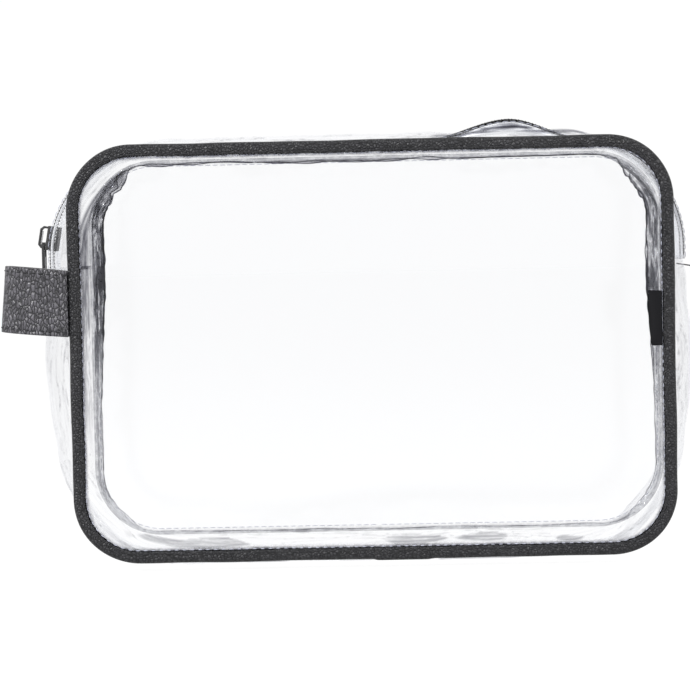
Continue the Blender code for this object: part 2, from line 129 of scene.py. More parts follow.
STRAP_BOTTOM = 0.0946     # the folded side loop, as in the frame
STRAP_HEIGHT = 0.0262
STRAP_SHEET = 0.0010
STRAP_REACH = 0.0248
STRAP_FLARE = 0.0012
STRAP_LIFT = 0.0024
STRAP_ROOT = 0.0014
STRAP_SWELL = 0.0085
STRAP_SET_BACK = 0.0040
STRAP_FULLNESS = 0.8      # lower: the loop opens nearer its root
STRAP_SEAM = 0.0021       # from each edge of the strap to its stitches
LAYER_GAP = 0.0003

LAP_TOP = 0.1215          # the lower gusset reaches this high, inside the strips' ends
LAP_DROP = 0.0007         # and lies this far inside them
ALLOWANCE = 0.0062        # width of the seam allowance inside the back seam
ALLOWANCE_GAP = 0.0009    # between its two layers
ALLOWANCE_ROWS = 9

Sides = namedtuple("Sides", "left right bottom top radius")


def joint_place(name):
    return Vector(next(j for j in frame["joints"] if j["name"] == name)["pos_m"])


binding_low, binding_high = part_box("front_binding")
coil_low, coil_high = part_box("front_zip_coil")
gusset_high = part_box("lower_gusset")[1]
back_low, back_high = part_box("back_panel_lower")
flap_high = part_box("back_panel_upper")[1]
panel_low, panel_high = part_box("front_panel")
slider_low, slider_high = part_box("slider_body")

ZIP_END = coil_low.z
FRONT = Sides(binding_low.x, binding_high.x, binding_low.z, binding_high.z, FRONT_RADIUS)
BACK = Sides(back_low.x + BACK_LEFT_SHIFT, back_high.x + BACK_RIGHT_SHIFT, back_low.z, flap_high.z,
             BACK_RADIUS)
LEFT_MOST = coil_low.x + COIL_THICK / 2
LOWEST = FILM / 2 + FLOOR_GAP
ZIP_LINE = Sides(LEFT_MOST, gusset_high.x - FILM / 2, LOWEST, coil_high.z - COIL_THICK / 2,
                 joint_place("zip_travel").x - LEFT_MOST)
SLIDER = (slider_low + slider_high) / 2
SEAM_INSET = BINDING_WIDTH + 0.00055     # where the gusset leaves the binding
FLANGE_Y = (binding_low.y + binding_high.y) / 2 + 0.0005


# ---- outlines and surfaces ----------

def grow(sides, by):
    """The same outline, moved outward all round."""
    return Sides(sides.left - by, sides.right + by, sides.bottom - by, sides.top + by, sides.radius + by)


def between(first, second, share):
    """An outline on the way from the first to the second."""
    return Sides(*(a + (b - a) * share for a, b in zip(first, second)))


def smooth(t):
    """0 below t = 0, 1 above t = 1, soft between."""
    t = np.clip(t, 0.0, 1.0)
    return t * t * (3 - 2 * t)


def gusset_sides(y):
    """The gusset's outline at a depth: drawn in at the seams, lower along the zip than beside it."""
    seam = grow(FRONT, -SEAM_INSET) if y < 0 else grow(BACK, -BACK_INSET)
    flat = FLAT_BAND / 2
    ridge = ZIP_LINE._replace(top=ZIP_LINE.top + TOP_RIDGE)
    beside = float(smooth((abs(y) - TAPE_OUTER) / (flat - TAPE_OUTER)))
    share = float(0.5 * (1 + np.cos(np.pi * np.clip((abs(y) - flat) / (BULGE_START - flat), 0, 1))))
    level = between(seam, between(ZIP_LINE, ridge, beside), share)
    rounded = between(seam, ZIP_LINE, 1 - min(1.0, abs(y) / BULGE_START) ** BULGE_FULLNESS)
    widest = ZIP_LINE.radius + CORNER_SLACK * beside
    radius = seam.radius + (widest - seam.radius) * share ** CORNER_FULLNESS
    return level._replace(left=rounded.left, right=rounded.right, radius=radius)


def arc(center_x, center_z, radius, start, end, steps):
    """Points on an arc; start and end are in degrees."""
    angle = np.radians(np.linspace(start, end, steps + 1))
    return np.stack([center_x + radius * np.cos(angle), center_z + radius * np.sin(angle)], 1)


def straight(start, end, steps):
    """Points from start up to, and without, end."""
    t = np.arange(steps)[:, None] / steps
    return np.array(start) * (1 - t) + np.array(end) * t


def step_counts(spacing):
    """Points on one side, one corner and the top, the same for every outline so that rows line up."""
    corner = math.ceil(ZIP_LINE.radius * math.pi / 2 / spacing)
    across = math.ceil((ZIP_LINE.right - ZIP_LINE.left - 2 * ZIP_LINE.radius) / spacing)
    return corner, across


def half_path(s, spacing, end, up):
    """From one zip end to the other, left to right, round the top (up) or the bottom of an outline."""
    corner, across = step_counts(spacing)
    level, zip_level, turn = (s.top, ZIP_LINE.top, 1) if up else (s.bottom, ZIP_LINE.bottom, -1)
    side = max(2, math.ceil((turn * (zip_level - end) - ZIP_LINE.radius) / spacing))
    r, z = s.radius, level - turn * s.radius
    return np.concatenate([
        straight((s.left, end), (s.left, z), side),
        arc(s.left + r, z, r, 180, 180 - 90 * turn, corner)[:-1],
        straight((s.left + r, level), (s.right - r, level), across),
        arc(s.right - r, z, r, 180 - 90 * turn, 180 - 180 * turn, corner)[:-1],
        straight((s.right, z), (s.right, end), side), [(s.right, end)]])


def upper_path(s, spacing=FILM_GRID):
    return half_path(s, spacing, ZIP_END, True)


def lower_path(s):
    return half_path(s, FILM_GRID, LAP_TOP, False)


def whole_path(s, spacing):
    """The closed outline, clockwise from the middle of the bottom."""
    corner, across = step_counts(spacing)
    upright = math.ceil((s.top - s.bottom - 2 * s.radius) / spacing)
    half, r = across // 2, s.radius
    west, east, low, high = s.left + r, s.right - r, s.bottom + r, s.top - r
    return np.concatenate([
        straight((0, s.bottom), (west, s.bottom), half), arc(west, low, r, 270, 180, corner)[:-1],
        straight((s.left, low), (s.left, high), upright), arc(west, high, r, 180, 90, corner)[:-1],
        straight((west, s.top), (east, s.top), across), arc(east, high, r, 90, 0, corner)[:-1],
        straight((s.right, high), (s.right, low), upright), arc(east, low, r, 0, -90, corner)[:-1],
        straight((east, s.bottom), (0, s.bottom), half)])


def running_length(path):
    """Distance along a path at each of its points."""
    steps = np.linalg.norm(np.diff(path, axis=0), axis=1)
    return np.concatenate([[0.0], np.cumsum(steps)])


def at_depth(path, y):
    """A path of (x, z) points as (x, y, z) points."""
    return np.stack([path[:, 0], np.full(len(path), y), path[:, 1]], 1)


def each(points, function):
    """A function of one point, applied to an array of points."""
    flat = points.reshape(-1, 3)
    return np.array([function(Vector(p)) for p in flat]).reshape(points.shape[:-1])


def waves(points, scale, seed=0.0):
    """Smooth noise from -1 to 1; scale is per metre along x, y and z."""
    scaled = points * np.array(scale) + seed
    return each(scaled, noise.noise)


def creases(points, scale, seed=0.0):
    """Noise from 0 to 1 with sharp ridges, like creased film."""
    return 1 - np.abs(waves(points, scale, seed)) * 2


def relax(points):
    """Slow waves and the pucker that all pieces near the zip share; still at the seams and at the slider."""
    x, y, z = points[..., 0], points[..., 1], points[..., 2]
    free = smooth((BULGE_START - np.abs(y)) / 0.014)
    from_slider = np.linalg.norm(points - np.array(SLIDER), axis=-1)
    away = smooth((from_slider - 0.009) / 0.02)
    slow = waves(points, (16, 9, 16), 3.7) * 0.0006 * free * away
    middle = np.array([0, 0, ZIP_END * 0.72])
    outward = points - middle
    outward[..., 1] = 0
    outward /= np.linalg.norm(outward, axis=-1, keepdims=True) + 1e-9
    moved = points + outward * slow[..., None]
    reach = np.where(x < PUCKER_X, PUCKER_LEFT, PUCKER_RIGHT)
    bell = smooth(1 - np.abs(x - PUCKER_X) / reach)
    across = smooth(1 - (np.abs(y) - 0.002) / PUCKER_DEPTH)
    moved[..., 2] += PUCKER_RISE * bell * across * (z > ZIP_LINE.top - NEAR_TOP)
    return moved + swell(points, free)


def swell(points, free):
    """Below the zip's ends the sides stand out further, and near the base they draw in."""
    x, z = points[..., 0], points[..., 2]
    side = np.sign(x) * smooth((np.abs(x) - SIDE_START) / 0.02) * free
    belly = BELLY * smooth(1 - np.abs(z - SWELL_HEIGHT) / BELLY_REACH)
    foot = FOOT * smooth((FOOT_HEIGHT - z) / 0.05)
    push = np.zeros(points.shape)
    push[..., 0] = side * (belly - foot)
    return push


# ---- meshes ----------

def new_object(name, verts, faces, material, smooth_angle=None):
    """A smooth-shaded mesh; edges sharper than smooth_angle stay sharp."""
    mesh = bpy.data.meshes.new(name)
    mesh.from_pydata(verts.tolist(), [], faces.tolist() if isinstance(faces, np.ndarray) else faces)
    mesh.materials.append(material)
    obj = bpy.data.objects.new(name, mesh)
    bpy.context.scene.collection.objects.link(obj)
    mesh.shade_smooth()
    if smooth_angle:
        mesh.set_sharp_from_angle(angle=math.radians(smooth_angle))
    return obj


def flow_attribute(obj, flow):
    """Stores where each point lies on its cloth (cm along, cm across) and how much painted shade its film
    gets.
    """
    attribute = obj.data.attributes.new("flow", "FLOAT_VECTOR", "POINT")
    attribute.data.foreach_set("vector", flow.astype(np.float32).ravel())


def quads(rows, columns, closed_rows=False, closed_columns=False):
    """Corner indices of a grid's quads."""
    index = np.arange(rows * columns).reshape(rows, columns)
    if closed_rows:
        index = np.concatenate([index, index[:1]], 0)
    if closed_columns:
        index = np.concatenate([index, index[:, :1]], 1)
    return np.stack([index[:-1, :-1], index[:-1, 1:], index[1:, 1:], index[1:, :-1]], -1).reshape(-1, 4)


def grid_normals(p, closed_columns=False):
    """Unit normals of a grid of points."""
    if closed_columns:
        along = np.roll(p, -1, 1) - np.roll(p, 1, 1)
    else:
        along = np.gradient(p, axis=1)
    normal = np.cross(along, np.gradient(p, axis=0))
    return normal / (np.linalg.norm(normal, axis=-1, keepdims=True) + 1e-12)


def sheet(name, points, thickness, material, flow, closed=False):
    """A closed sheet about a grid of points; closed joins each row's ends."""
    rows, columns = points.shape[:2]
    normal = grid_normals(points, closed)
    verts = np.concatenate([(points + normal * thickness / 2).reshape(-1, 3),
                            (points - normal * thickness / 2).reshape(-1, 3)])
    outer = quads(rows, columns, closed_columns=closed)
    size = rows * columns
    inner = outer[:, ::-1] + size
    index = np.arange(size).reshape(rows, columns)
    borders = [index[0], index[-1][::-1]] if closed else [
        np.concatenate([index[0], index[1:, -1], index[-1, -2::-1], index[-2:0:-1, 0]])]
    rims = []
    for border in borders:
        after = np.roll(border, -1)
        rims.append(np.stack([after, border, border + size, after + size], 1))
    obj = new_object(name, verts, np.concatenate([outer, inner, *rims]), material)
    flow_attribute(obj, np.concatenate([flow.reshape(-1, 3)] * 2))
    return obj


def flow_of(path, depths, shade):
    """Flow values of a grid: centimetres along the path, centimetres across, and shade."""
    along = np.tile(running_length(path) * 100, (len(depths), 1))
    across = np.tile(np.array(depths)[:, None] * 100, (1, len(path)))
    return np.stack([along, across, shade], -1)


def swept(name, paths, material, closed_path=False, smooth_angle=None):
    """A solid through cross-sections: paths is (points along, points round, 3)."""
    rows, columns = paths.shape[:2]
    faces = quads(rows, columns, closed_rows=closed_path, closed_columns=True).tolist()
    if not closed_path:
        faces.append(list(range(columns)))
        faces.append([(rows - 1) * columns + i for i in reversed(range(columns))])
    return new_object(name, paths.reshape(-1, 3), faces, material, smooth_angle)


def tube(name, line, radius, sides, material):
    """A round wire along an open line of points."""
    tangent = np.gradient(line, axis=0)
    tangent /= np.linalg.norm(tangent, axis=1, keepdims=True)
    normal = np.zeros_like(tangent)
    current = np.cross(tangent[0], (0.3, 1.0, 0.2))
    for i, direction in enumerate(tangent):
        current = current - direction * current.dot(direction)
        current = current / np.linalg.norm(current)
        normal[i] = current
    other = np.cross(tangent, normal)
    angle = np.arange(sides) / sides * 2 * np.pi
    ring = (normal[:, None] * np.cos(angle)[None, :, None] + other[:, None] * np.sin(angle)[None, :, None])
    return swept(name, line[:, None] + ring * radius, material)


def stitches(name, line, normal, pitch, length, width, material):
    """Separate stitches along a line of points: each a small pill that dips into the sheet at both ends."""
    distance = running_length(line)
    count = int(distance[-1] / pitch)
    middles = (np.arange(count) + 0.5) * distance[-1] / count
    rings, sides = 5, 6
    turn = np.arange(sides) / sides * 2 * np.pi
    verts, faces = [], []
    for middle in middles:
        spots = np.clip(middle + np.linspace(-0.5, 0.5, rings) * length, 0, distance[-1])
        at = np.stack([np.interp(spots, distance, line[:, i]) for i in range(3)], 1)
        up = np.array([np.interp(middle, distance, normal[:, i]) for i in range(3)])
        up /= np.linalg.norm(up)
        ahead = at[-1] - at[0]
        ahead /= np.linalg.norm(ahead)
        side = np.cross(ahead, up)
        start = len(verts) * sides
        for place, girth, lift in zip(at, (0.35, 0.9, 1.0, 0.9, 0.35), (-0.25, 0.1, 0.2, 0.1, -0.25)):
            ring = (side * np.cos(turn)[:, None] + up * np.sin(turn)[:, None] * 0.8) * width / 2 * girth
            verts.append(place + up * lift * width + ring)
        for i in range(rings - 1):
            for j in range(sides):
                k, here = (j + 1) % sides, start + i * sides
                faces.append((here + j, here + k, here + sides + k, here + sides + j))
        faces.append(tuple(start + j for j in reversed(range(sides))))
        faces.append(tuple(start + (rings - 1) * sides + j for j in range(sides)))
    return new_object(name, np.concatenate(verts), faces, material)


# ---- materials ----------

class Shader:
    """Builds one material's node tree; inputs may be values or other nodes' output sockets."""

    def __init__(self, name, slot):
        self.material = bpy.data.materials.new(name)
        self.material.use_nodes = True
        self.material["record_slot"] = slot
        self.tree = self.material.node_tree
        self.tree.nodes.clear()

    def node(self, kind, output=0, settings=None, **inputs):
        made = self.tree.nodes.new("ShaderNode" + kind)
        for key, value in (settings or {}).items():
            setattr(made, key, value)
        for key, value in inputs.items():
            socket = made.inputs[int(key[1:])] if key[0] == "i" and key[1:].isdigit() else made.inputs[
                key.replace("_", " ")]
            if isinstance(value, bpy.types.NodeSocket):
                self.tree.links.new(value, socket)
            else:
                socket.default_value = value
        return made.outputs[output] if made.outputs else made

    def math(self, operation, first, second=0.0, clamp=False):
        return self.node("Math", settings={"operation": operation, "use_clamp": clamp}, i0=first, i1=second)

    def spread(self, value, low, high, to_low=0.0, to_high=1.0):
        return self.node("MapRange", Value=value, From_Min=low, From_Max=high, To_Min=to_low, To_Max=to_high)

    def mix(self, share, first, second):
        return self.node("Mix", output=2, settings={"data_type": "RGBA"}, i0=share, i6=first, i7=second)

    def stretched(self, vector, x, y, z=1.0):
        return self.node("VectorMath", settings={"operation": "MULTIPLY"}, i0=vector, i1=(x, y, z))

    def done(self, surface):
        self.node("OutputMaterial", Surface=surface)
        return self.material


CLEAR = (0.987, 0.988, 0.990, 1)
PAINTED_SHADE_GREY = (0.17, 0.17, 0.205, 1)
PAINTED_EDGE_SHADE = (0.34, 0.34, 0.37, 1)
WAVE_SCALE = 0.157           # a wave texture of this scale repeats every 2 m


def film_material(name, along, across, lines=0.3, least=0.12):
    """Clear film with painted shade: where its shade value is set it turns grey in sharp streaks, and thin
    grey lines of painted shade cross it everywhere.

    along and across set how many streaks there are per centimetre, lines how dark the painted wrinkle lines
    are, and least how grey a shaded part is between its streaks.
    """
    s = Shader(name, "clear_film")
    flow = s.node("Attribute", output=1, settings={"attribute_name": "flow"})
    shade = s.node("SeparateXYZ", output=2, Vector=flow)
    place = s.stretched(flow, along, across, 0.0)
    bent = s.node("TexNoise", output=1, Vector=place, Scale=0.5, Detail=2.0)
    warped = s.node("VectorMath", settings={"operation": "MULTIPLY_ADD"}, i0=bent, i1=(0.9, 0.9, 0), i2=place)
    broad = s.spread(s.node("TexNoise", Vector=warped, Scale=0.8, Detail=2.0, Roughness=0.5), 0.42, 0.56)
    fine = s.spread(s.node("TexNoise", Vector=warped, Scale=2.6, Detail=3.0, Roughness=0.6), 0.44, 0.58)
    cells = s.node("TexVoronoi", output=1, settings={"feature": "F1"}, Vector=warped, Scale=1.1,
                   Randomness=1.0)
    facet = s.spread(s.node("SeparateXYZ", output=0, Vector=cells), 0.2, 0.8)
    small = s.math("ADD", s.math("MULTIPLY", fine, 0.34), s.math("MULTIPLY", facet, 0.28))
    pattern = s.math("ADD", s.math("MULTIPLY", broad, 0.38), small)
    # painted shade: where the shade value is set, the film turns grey in sharp streaks
    dark = s.math("MULTIPLY", shade, s.spread(pattern, 0.12, 0.72, least, 1.0), clamp=True)
    # painted shade: thin grey lines along the ridges of a slow noise, drawn as the film's wrinkles
    slow = s.node("TexNoise", Vector=warped, Scale=0.55, Detail=3.0)
    ridge = s.math("ABSOLUTE", s.math("SUBTRACT", slow, 0.5))
    wrinkle = s.spread(ridge, 0.0, 0.012, lines, 0.0)
    ripple = s.node("TexNoise", Vector=place, Scale=1.3, Detail=2.0)
    bump = s.node("Bump", Strength=0.2, Distance=0.0005, Height=ripple)
    facing = s.node("LayerWeight", output=1, Blend=0.5, Normal=bump)
    tone = s.mix(s.math("MAXIMUM", dark, wrinkle), CLEAR, PAINTED_SHADE_GREY)
    # painted shade at grazing angles: the film greys where it is seen nearly edge-on
    tone = s.mix(s.spread(facing, 0.988, 1.0, 0.0, 0.6), tone, PAINTED_EDGE_SHADE)
    through = s.node("BsdfTransparent", Color=tone)
    gloss = s.node("BsdfGlossy", Color=(0.97, 0.975, 1.0, 1), Roughness=0.05, Normal=bump)
    share = s.math("MULTIPLY", s.spread(s.math("POWER", facing, 5.0), 0.0, 1.0, 0.022, 0.24),
                   s.spread(dark, 0.0, 1.0, 0.7, 0.2))
    return s.done(s.node("MixShader", i0=share, i1=through, i2=gloss))


def leather_material(name, slot, low, high, cell, relief, roughness, gloss, stretch=(1.0, 1.0, 1.0)):
    """Artificial leather with a pebbled grain: its grooves darkened with painted shade (low), its pebbles
    paler (high).

    cell is the grain's size in metres, and stretch squeezes it along each axis.
    """
    s = Shader(name, slot)
    place = s.node("TexCoord", output=3)
    warp = s.node("TexNoise", output=1, Vector=place, Scale=0.35 / cell, Detail=2.0)
    moved = s.node("VectorMath", settings={"operation": "MULTIPLY_ADD"}, i0=warp,
                   i1=(cell * 0.9, cell * 0.9, cell * 0.9), i2=place)
    crease = s.node("TexVoronoi", settings={"feature": "DISTANCE_TO_EDGE"}, Scale=1 / cell,
                    Vector=s.stretched(moved, *stretch))
    pebble = s.spread(crease, 0.0, 0.42)
    fine = s.node("TexNoise", Vector=place, Scale=2.5 / cell, Detail=3.0)
    broad = s.node("TexNoise", Vector=place, Scale=0.35 / cell, Detail=3.0)
    height = s.math("ADD", s.math("POWER", pebble, 0.6), s.math("MULTIPLY", fine, 0.3))
    # the grooves' darkening is painted shade; the broad mottle is the leather's own uneven tone
    groove_shade_and_mottle = s.math("MULTIPLY", s.spread(crease, 0.0, 0.20, 0.05, 1.0), s.spread(broad, 0.35, 0.65, 0.55, 1.0))
    bump = s.node("Bump", Strength=relief, Distance=cell * 0.3, Height=height)
    return s.done(s.node("BsdfPrincipled", Base_Color=s.mix(groove_shade_and_mottle, low, high), Roughness=roughness,
                         Specular_IOR_Level=gloss, Normal=bump))


def woven_material(name, slot, low, high, pitch, roughness=0.85, see_through=0.0, gloss=0.2):
    """Fabric: crossing threads, optionally letting light through."""
    s = Shader(name, slot)
    place = s.node("TexCoord", output=3)
    threads = []
    for axis in ("X", "Y", "Z"):
        kind = {"wave_type": "BANDS", "bands_direction": axis, "wave_profile": "SIN"}
        threads.append(s.node("TexWave", settings=kind, Vector=place, Scale=WAVE_SCALE / pitch,
                              Distortion=0.4))
    height = s.math("MAXIMUM", s.math("MAXIMUM", threads[0], threads[1]), threads[2])
    bump = s.node("Bump", Strength=0.5, Distance=pitch * 0.3, Height=height)
    cloth = s.node("BsdfPrincipled", Base_Color=s.mix(height, low, high), Roughness=roughness,
                   Specular_IOR_Level=gloss, Normal=bump)
    if not see_through:
        return s.done(cloth)
    gap = s.spread(height, 0.9, 0.4, see_through * 0.75, min(1.0, see_through * 1.25))
    clear = s.node("BsdfTransparent", Color=(1, 1, 1, 1))
    return s.done(s.node("MixShader", i0=gap, i1=cloth, i2=clear))


def enamel_material(name, slot, color, roughness, metallic=0.0):
    """Black enamelled or bare metal, with faint unevenness."""
    s = Shader(name, slot)
    place = s.node("TexCoord", output=3)
    speck = s.node("TexNoise", Vector=place, Scale=900.0, Detail=3.0)
    bump = s.node("Bump", Strength=0.12, Distance=0.00008, Height=speck)
    return s.done(s.node("BsdfPrincipled", Base_Color=color, Metallic=metallic, Normal=bump,
                         Roughness=s.spread(speck, 0.2, 0.8, roughness * 0.8, roughness * 1.25)))


def plain_material(name, slot, color, roughness):
    """Nylon or thread: too fine for a pattern, its detail is in the mesh."""
    s = Shader(name, slot)
    return s.done(s.node("BsdfPrincipled", Base_Color=color, Roughness=roughness, Specular_IOR_Level=0.3))


GUSSET_FILM = film_material("gusset film", along=0.35, across=4.5)
PANEL_FILM = film_material("panel film", along=2.0, across=2.0, lines=0.0, least=0.5)
ALLOWANCE_FILM = film_material("seam allowance film", along=0.8, across=7.0, least=0.15)
BINDING = leather_material("binding leather", "binding_leather", (0.001, 0.001, 0.0015, 1),
                           (0.026, 0.026, 0.029, 1), cell=0.0012, relief=1.0, roughness=0.42, gloss=0.25)
STRAP = leather_material("strap leather", "strap_leather", (0.002, 0.002, 0.003, 1),
                         (0.080, 0.077, 0.088, 1), cell=0.00165, relief=1.0, roughness=0.40, gloss=0.4,
                         stretch=(1.35, 1.0, 0.66))
LINING = leather_material("strap lining leather", "strap_lining", (0.03, 0.029, 0.031, 1),
                          (0.06, 0.058, 0.062, 1), cell=0.0005, relief=0.3, roughness=0.6, gloss=0.3)
TAPE = woven_material("zip tape cloth", "zip_tape", (0.60, 0.61, 0.64, 1), (0.86, 0.87, 0.89, 1),
                      pitch=0.0005, see_through=0.55)
LABEL = woven_material("label cloth", "woven_label", (0.002, 0.002, 0.003, 1), (0.009, 0.009, 0.010, 1),
                       pitch=0.00035, gloss=0.05)
COIL = plain_material("coil nylon", "zip_coil", (0.006, 0.006, 0.007, 1), roughness=0.45)
ENAMEL = enamel_material("black enamel", "black_metal", (0.016, 0.016, 0.017, 1), roughness=0.32)
STEEL = enamel_material("spring steel", "spring_steel", (0.45, 0.45, 0.46, 1), roughness=0.3, metallic=1.0)
THREAD = plain_material("black thread", "thread", (0.014, 0.014, 0.016, 1), roughness=0.7)
CLEAR_THREAD = plain_material("pale thread", "clear_thread", (0.30, 0.31, 0.37, 1), roughness=0.6)


# ---- where each piece stays -------------

def on_mouth(obj, *nodes):
    """A rear piece: its placement is baked into its mesh, and it stays where it was made."""
    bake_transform(obj)
    if nodes:
        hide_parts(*nodes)
    return obj


def on_bag(obj, *nodes):
    """A piece that stays where the bag is."""
    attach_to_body(obj, "bag")
    if nodes:
        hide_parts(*nodes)
    return obj


# ---- film ----------

def upright_share(points):
    """1 on the bag's left and right sides, 0 along its top and bottom."""
    return smooth((np.abs(points[..., 0]) - SIDE_START) / 0.016)


def painted_shade_band(y):
    """1 in the narrow band of painted shade in front of the back seam."""
    return smooth((y - BAND_START) / 0.003) * smooth((BAND_END - y) / 0.0006)


def creased(points, share, strength, scale, seed):
    """Points pushed out by creases, by each one's share of the strength; still where the gusset is sewn."""
    y = points[..., 1]
    free = smooth((SEAM_DEPTH - 0.0008 - np.abs(y)) / 0.006)
    free = free * smooth(np.abs(points[..., 2] - ZIP_END) / 0.012)
    push = (creases(points, scale, seed) - 0.5) * strength
    push = push + waves(points, (70, 60, 70), seed + 5) * strength * 0.35
    moved = points + grid_normals(points) * (push * free * share)[..., None]
    moved[..., 2] = np.maximum(moved[..., 2], LOWEST)
    return moved


def front_depths(edge):
    """Depths of the rows from the front seam backward."""
    count = math.ceil((abs(FLANGE_Y) - edge) / FILM_GRID)
    return np.linspace(FLANGE_Y + 0.0006, -edge, count)


def gusset_rows(path, depths, flange=False):
    """The gusset's points row by row, if asked with its flange inside the binding, and their depths."""
    rows = [at_depth(path(gusset_sides(y)), y) for y in depths]
    if flange:
        rows = [at_depth(path(grow(FRONT, -inset)), FLANGE_Y)
                for inset in (0.0030, 0.0042, SEAM_INSET - 0.0006)] + rows
        depths = np.concatenate([[FLANGE_Y] * 3, depths])
    return np.array(rows), depths


def zip_strip_shade(points):
    """Painted shade of the strip: grey at both sides of the bag, dark painted reflections where it stands up,
    and clear along the top.
    """
    x, y, z = points[..., 0], points[..., 1], points[..., 2]
    side = upright_share(points)
    # lens: the painted reflections where the zip stands up; the rest is painted shade at the sides and beside
    # the binding
    lens = sum(strength * smooth((1 - np.hypot((x - PUCKER_X - along) / length, (y + depth) / width)) / 0.3)
               for along, depth, length, width, strength in PUCKER_PAINTED_REFLECTIONS) * (z > ZIP_LINE.top - NEAR_TOP)
    beside_binding = 0.28 * smooth((x - 0.1) / 0.02) * smooth((0.034 + y) / 0.01) * smooth(-y / 0.006)
    return np.clip(side * (0.04 + 0.75 * painted_shade_band(y) + beside_binding) + lens, 0, 1)


def make_zip_strips():
    """The two halves of the zipped gusset, from the film's edge beside the zip to the seam."""
    rear_count = math.ceil((SEAM_DEPTH - FILM_EDGE) / FILM_GRID)
    for node, depths, flange, seed, attach in (
            ("front_zip_strip", front_depths(FILM_EDGE), True, 11.0, on_bag),
            ("rear_zip_strip", np.linspace(FILM_EDGE, SEAM_DEPTH, rear_count), False, 23.0, on_mouth)):
        rows, depths = gusset_rows(upper_path, depths, flange)
        flow = flow_of(upper_path(ZIP_LINE), depths, zip_strip_shade(rows))
        beyond_tape = smooth((np.abs(rows[..., 1]) - FILM_EDGE - 0.002) / 0.01)
        rows = creased(relax(rows), beyond_tape, STRIP_CREASE, (60, 30, 60), seed)
        attach(sheet(node.replace("zip_strip", "strip_film"), rows, FILM, GUSSET_FILM, flow), node)


def make_lower_gusset():
    """Bottom and lower sides in one strip, with painted reflections as grey patches below and a band of
    painted shade up the sides, darker on the left.
    """
    front = front_depths(FILM_GRID)
    rear = np.linspace(FILM_GRID, SEAM_DEPTH, len(front))
    depths = np.concatenate([front, rear])
    rows, depths = gusset_rows(lower_path, depths, flange=True)
    x, y, z = rows[..., 0], rows[..., 1], rows[..., 2]
    side = upright_share(rows)
    # painted reflections as grey patches on the bottom, and painted shade in a band up the sides
    bottom_painted_reflection = (1 - side) * smooth((waves(rows, (34, 60, 0), 41.0) - 0.18) / 0.02) * 0.42
    left = smooth(0.5 - x / 0.02)
    high = smooth((z - 0.030) / 0.07)
    band = (0.20 + 0.45 * left) * painted_shade_band(y) * high
    shade = np.clip(side * (0.02 + band) + bottom_painted_reflection, 0, 1)
    flow = flow_of(lower_path(ZIP_LINE), depths, shade)
    rows[..., 0] -= np.sign(x) * LAP_DROP * smooth((z - ZIP_END + 0.006) / 0.005)
    loose = np.clip(0.35 + side * 0.4, 0, 1)
    rows = creased(relax(rows), loose, GUSSET_CREASE, (34, 26, 30), 31.0)
    on_mouth(sheet("lower_gusset_film", rows, FILM, GUSSET_FILM, flow), "lower_gusset")


def panel_grid(s, spacing=FILM_GRID):
    """A rounded rectangle as rows of equal point counts, from the bottom edge to the top edge."""
    corner = math.ceil(s.radius * math.pi / 2 / spacing)
    turn = np.linspace(0, math.pi / 2, corner + 1)
    inset, rise = s.radius * (1 - np.sin(turn)), s.radius * (1 - np.cos(turn))
    count = math.ceil((s.top - s.bottom) / spacing / 2)
    upright = np.linspace(s.bottom + s.radius, s.top - s.radius, count)[1:-1]
    z = np.concatenate([s.bottom + rise, upright, s.top - rise[::-1]])
    inset = np.concatenate([inset, np.zeros(len(upright)), inset[::-1]])
    across = smooth(np.linspace(0, 1, math.ceil((s.right - s.left) / spacing)) * 0.8 + 0.1)
    across = (across - across[0]) / (across[-1] - across[0])
    x = (s.left + inset)[:, None] * (1 - across) + (s.right - inset)[:, None] * across
    return np.stack([x, np.zeros_like(x), np.repeat(z[:, None], len(across), 1)], -1)


def from_edge(points, s):
    """Distance inward from a rounded outline."""
    half_x, half_z = (s.right - s.left) / 2 - s.radius, (s.top - s.bottom) / 2 - s.radius
    over_x = np.abs(points[..., 0] - (s.right + s.left) / 2) - half_x
    over_z = np.abs(points[..., 2] - (s.top + s.bottom) / 2) - half_z
    outside = np.hypot(np.maximum(over_x, 0), np.maximum(over_z, 0))
    return s.radius - outside - np.minimum(np.maximum(over_x, over_z), 0)


def flat_panel(name, outline, y, shade_width, shade_value, seed):
    """One whole film panel: slack in the middle, pinched by the stitches round its edge."""
    rows = panel_grid(outline)
    distance = from_edge(rows, outline)
    pinch = smooth(distance / 0.002) * (1 - smooth((distance - 0.004) / 0.012))
    slack = waves(rows, (14, 0, 14), seed) * PANEL_WAVE * smooth((distance - 0.004) / 0.02)
    rows[..., 1] = y + slack + waves(rows, (120, 0, 120), seed + 3) * 0.0002 * pinch
    # painted shade along the panel's edge: grey within shade_width of it, darkest at the edge
    shade = shade_value * (1 - smooth(distance / shade_width))
    flow = np.stack([rows[..., 0] * 100, rows[..., 2] * 100, shade], -1)
    return sheet(name, rows, FILM, PANEL_FILM, flow)


def make_panels():
    """The front film, whose edge lies inside the binding, and the back film."""
    middle = (panel_low.y + panel_high.y) / 2
    front = flat_panel("front_film", grow(FRONT, -0.0030), middle, shade_width=0.0036, shade_value=1.8,
                       seed=51.0)
    on_bag(front, "front_panel")
    rear = (back_low.y + back_high.y) / 2 + 0.0003
    back = flat_panel("back_film", BACK, rear, shade_width=0.003, shade_value=0.35, seed=61.0)
    on_mouth(back, "back_panel_lower", "back_panel_upper")


def inward_directions(path):
    """Unit directions into a closed clockwise outline, one for each of its (x, z) points."""
    ahead = np.roll(path, -1, 0) - np.roll(path, 1, 0)
    inward = np.stack([ahead[:, 1], -ahead[:, 0]], 1)
    return inward / np.linalg.norm(inward, axis=1, keepdims=True)


